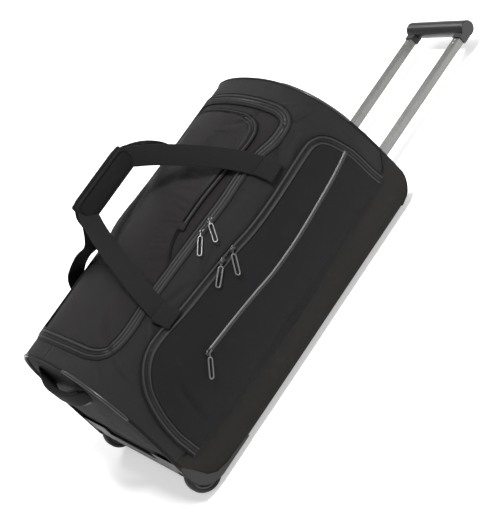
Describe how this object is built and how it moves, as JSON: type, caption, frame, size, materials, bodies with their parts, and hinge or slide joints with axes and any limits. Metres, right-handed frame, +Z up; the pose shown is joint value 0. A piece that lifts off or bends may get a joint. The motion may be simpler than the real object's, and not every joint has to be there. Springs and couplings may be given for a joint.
{
  "type": "rolling duffel bag",
  "caption": "Soft rolling duffel with a moulded wheel base, telescopic trolley handle, zipped lid, front pocket and padded carry and grab handles.",
  "frame": {"origin": "on the floor, below the middle of the bag's overall box with the trolley handle drawn out", "axes": "+X from the wheels to the trolley grip, -Y the side with the front pocket, +Z up from the base"},
  "size_m": [1.0648, 0.4305, 0.459],
  "materials": {
    "shell_fabric": "matte charcoal polyester weave",
    "lid_fabric": "matte brownish black polyester weave",
    "pocket_fabric": "matte bluish black polyester weave",
    "base_plastic": "matte board",
    "skid_plastic": "fine-grained dark grey",
    "tyre_rubber": "matte",
    "hub_plastic": "satin dark grey",
    "steel": "zinc plated",
    "tube_aluminium": "brushed, anodised",
    "black_plastic": "satin",
    "grip_plastic": "satin black",
    "webbing": "ribbed black webbing",
    "grip_padding": "padded, stitched",
    "gloss_guard": "glossy dark grey",
    "zip_metal": "black nickel",
    "pull_plastic": "moulded cord-end"
  },
  "bodies": {
    "bag": {"front_panel": "shell_fabric", "rear_panel": "shell_fabric", "wheel_end_panel": "shell_fabric", "handle_end_panel": "shell_fabric", "base_board": "base_plastic", "corner_skid": "skid_plastic", "base_foot_front": "skid_plastic", "base_foot_rear": "skid_plastic", "tube_socket_bar": "base_plastic", "trolley_cover": "base_plastic", "handle_bezel": "skid_plastic", "crown_strip_wheel_end": "lid_fabric", "crown_strip_handle_end": "lid_fabric", "axle_pin_front": "steel", "axle_pin_rear": "steel", "housing_screws": "steel", "outer_tube_front": "tube_aluminium", "outer_tube_rear": "tube_aluminium", "tube_bush_front": "black_plastic", "tube_bush_rear": "black_plastic", "strap_anchors": "webbing", "grab_handle_wheel_end": "grip_padding", "grab_handle_top_end": "grip_padding", "edge_guards": "gloss_guard"},
    "trolley": {"inner_tube_front": "tube_aluminium", "inner_tube_rear": "tube_aluminium", "tube_plug_front": "black_plastic", "tube_plug_rear": "black_plastic", "grip_lower_shell": "grip_plastic", "grip_upper_shell": "grip_plastic", "tube_rivets": "steel"},
    "release": {"grip_button": "grip_plastic", "release_bar": "black_plastic", "push_rod_front": "steel", "push_rod_rear": "steel"},
    "lock_front": {"lock_pin_front": "steel"},
    "lock_rear": {"lock_pin_rear": "steel"},
    "wheel_front": {"wheel_tyre_front": "tyre_rubber", "wheel_hub_front": "hub_plastic", "wheel_bearing_front": "hub_plastic"},
    "wheel_rear": {"wheel_tyre_rear": "tyre_rubber", "wheel_hub_rear": "hub_plastic", "wheel_bearing_rear": "hub_plastic"},
    "lid": {"lid_panel": "lid_fabric", "lid_pocket": "lid_fabric"},
    "pocket": {"front_pocket": "pocket_fabric"},
    "carry_front": {"carry_strap_front": "webbing", "carry_pad_front": "grip_padding"},
    "carry_rear": {"carry_strap_rear": "webbing", "carry_pad_rear": "grip_padding"},
    "slider_lid_a": {"zip_slider_lid_a": "zip_metal"},
    "pull_lid_a": {"zip_pull_lid_a": "pull_plastic"},
    "slider_lid_b": {"zip_slider_lid_b": "zip_metal"},
    "pull_lid_b": {"zip_pull_lid_b": "pull_plastic"},
    "slider_pocket_a": {"zip_slider_pocket_a": "zip_metal"},
    "pull_pocket_a": {"zip_pull_pocket_a": "pull_plastic"},
    "slider_pocket_b": {"zip_slider_pocket_b": "zip_metal"},
    "pull_pocket_b": {"zip_pull_pocket_b": "pull_plastic"},
    "slider_quick": {"zip_slider_quick": "zip_metal"},
    "pull_quick": {"zip_pull_quick": "pull_plastic"}
  },
  "joints": [
    {"name": "handle_slide", "type": "slide", "parent": "bag", "child": "trolley", "axis": [1, 0, 0], "range_m": [-0.303, 0]},
    {"name": "button_press", "type": "slide", "parent": "trolley", "child": "release", "axis": [-1, 0, 0], "range_m": [0, 0.0035], "stiffness_N_per_m": 900, "springref_m": -0.002},
    {"name": "lock_pin_front_slide", "type": "slide", "parent": "trolley", "child": "lock_front", "axis": [0, -1, 0], "range_m": [0, 0.003]},
    {"name": "lock_pin_rear_slide", "type": "slide", "parent": "trolley", "child": "lock_rear", "axis": [0, 1, 0], "range_m": [0, 0.003]},
    {"name": "wheel_front_spin", "type": "hinge", "parent": "bag", "child": "wheel_front", "pos_m": [-0.496, -0.174, 0.035], "axis": [0, 1, 0], "continuous": true},
    {"name": "wheel_rear_spin", "type": "hinge", "parent": "bag", "child": "wheel_rear", "pos_m": [-0.496, 0.174, 0.035], "axis": [0, 1, 0], "continuous": true},
    {"name": "lid_hinge", "type": "hinge", "parent": "bag", "child": "lid", "pos_m": [-0.491, 0.151, 0.297], "axis": [-1, 0, 0], "range_deg": [0, 100]},
    {"name": "carry_front_hinge", "type": "hinge", "parent": "bag", "child": "carry_front", "pos_m": [-0.491, -0.18, 0.279], "axis": [1, 0, 0], "range_deg": [0, 105]},
    {"name": "carry_rear_hinge", "type": "hinge", "parent": "bag", "child": "carry_rear", "pos_m": [-0.491, 0.18, 0.279], "axis": [-1, 0, 0], "range_deg": [0, 105]},
    {"name": "pocket_hinge", "type": "hinge", "parent": "bag", "child": "pocket", "pos_m": [-0.491, -0.203, 0.091], "axis": [1, 0, 0], "range_deg": [0, 34]},
    {"name": "slider_lid_a_slide", "type": "slide", "parent": "lid", "child": "slider_lid_a", "axis": [-1, 0, 0], "range_m": [0, 0.2]},
    {"name": "pull_lid_a_hinge", "type": "hinge", "parent": "slider_lid_a", "child": "pull_lid_a", "pos_m": [-0.17138, -0.15629, 0.29592], "axis": [-0.5478, 0.6597, 0.5145], "range_deg": [0, 90]},
    {"name": "slider_lid_b_slide", "type": "slide", "parent": "lid", "child": "slider_lid_b", "axis": [1, 0, 0], "range_m": [0, 0.11]},
    {"name": "pull_lid_b_hinge", "type": "hinge", "parent": "slider_lid_b", "child": "pull_lid_b", "pos_m": [-0.14321, -0.15765, 0.29486], "axis": [-0.7828, 0.4907, 0.3827], "range_deg": [0, 90]},
    {"name": "slider_pocket_a_slide", "type": "slide", "parent": "pocket", "child": "slider_pocket_a", "axis": [-1, 0, 0], "range_m": [0, 0.1]},
    {"name": "pull_pocket_a_hinge", "type": "hinge", "parent": "slider_pocket_a", "child": "pull_pocket_a", "pos_m": [-0.1979, -0.19913, 0.25294], "axis": [-0.4311, 0.4439, 0.7855], "range_deg": [0, 90]},
    {"name": "slider_pocket_b_slide", "type": "slide", "parent": "pocket", "child": "slider_pocket_b", "axis": [1, 0, 0], "range_m": [0, 0.1]},
    {"name": "pull_pocket_b_hinge", "type": "hinge", "parent": "slider_pocket_b", "child": "pull_pocket_b", "pos_m": [-0.16773, -0.20148, 0.24856], "axis": [-0.7413, 0.3214, 0.5892], "range_deg": [0, 90]},
    {"name": "slider_quick_slide", "type": "slide", "parent": "pocket", "child": "slider_quick", "axis": [1, 0, 0], "range_m": [0, 0.42]},
    {"name": "pull_quick_hinge", "type": "hinge", "parent": "slider_quick", "child": "pull_quick", "pos_m": [-0.33626, -0.21805, 0.18262], "axis": [-0.6919, 0.0507, 0.7202], "range_deg": [0, 90]}
  ],
  "couplings": [
    {"joint": "lock_pin_front_slide", "follows": "button_press", "ratio": 0.857},
    {"joint": "lock_pin_rear_slide", "follows": "button_press", "ratio": 0.857},
    {"joint": "carry_front_hinge", "follows": "lid_hinge", "ratio": 1.05},
    {"joint": "carry_rear_hinge", "follows": "lid_hinge", "ratio": 1.05},
    {"joint": "slider_lid_a_slide", "follows": "lid_hinge", "m_per_rad": 0.1145},
    {"joint": "slider_lid_b_slide", "follows": "lid_hinge", "m_per_rad": 0.063},
    {"joint": "slider_pocket_a_slide", "follows": "pocket_hinge", "m_per_rad": 0.1685},
    {"joint": "slider_pocket_b_slide", "follows": "pocket_hinge", "m_per_rad": 0.1685}
  ]
}
